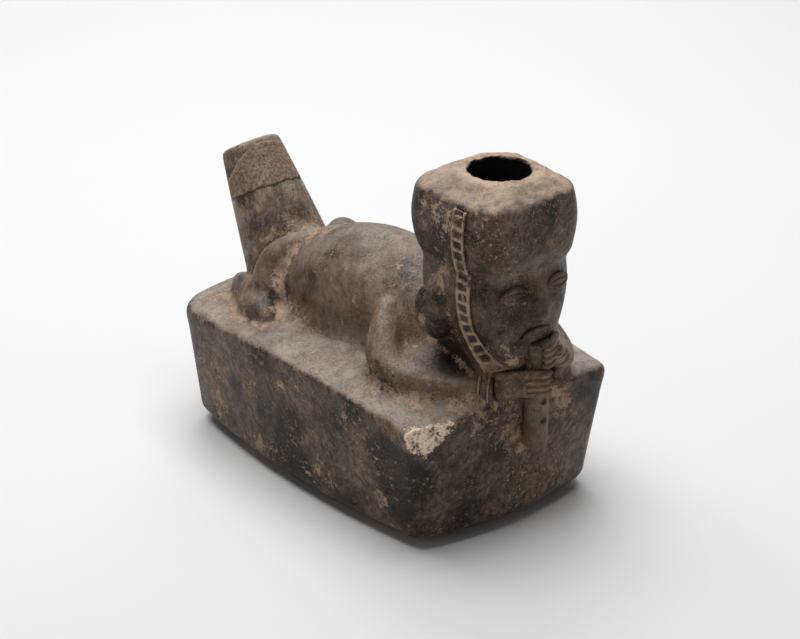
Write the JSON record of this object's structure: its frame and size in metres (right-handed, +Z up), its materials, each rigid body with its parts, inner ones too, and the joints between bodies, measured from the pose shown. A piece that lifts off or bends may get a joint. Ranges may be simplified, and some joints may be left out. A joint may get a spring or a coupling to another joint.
{
  "type": "effigy bottle",
  "caption": "Dark clay effigy bottle: a flute player lies on a hollow block, with a leaning spout behind and a round mouth in the cap.",
  "frame": {"origin": "middle of the flat face that the bottle rests on", "axes": "+Z up; the figure faces -Y and the spout leans towards +Y; +X on the figure's left"},
  "size_m": [0.125, 0.2358, 0.1762],
  "materials": {
    "block_clay": "burnished dark clay",
    "figure_clay": "burnished dark clay",
    "spout_clay": "burnished dark clay",
    "mended_clay": "granular tan mend",
    "cap_clay": "burnished, worn buff on top"
  },
  "bodies": {
    "root": {"base_tray": "block_clay", "deck": "block_clay", "spout": "spout_clay", "spout_tip": "mended_clay", "head": "figure_clay", "torso": "figure_clay", "cap": "cap_clay", "nose": "figure_clay", "lips": "figure_clay", "flute": "figure_clay", "right_eye": "figure_clay", "right_strap": "figure_clay", "right_ear": "figure_clay", "right_arm": "figure_clay", "right_hand": "figure_clay", "right_leg": "figure_clay", "right_foot": "figure_clay", "left_eye": "figure_clay", "left_strap": "figure_clay", "left_ear": "figure_clay", "left_arm": "figure_clay", "left_hand": "figure_clay", "left_leg": "figure_clay", "left_foot": "figure_clay", "right_bangle_1": "figure_clay", "right_bangle_2": "figure_clay"}
  },
  "joints": []
}
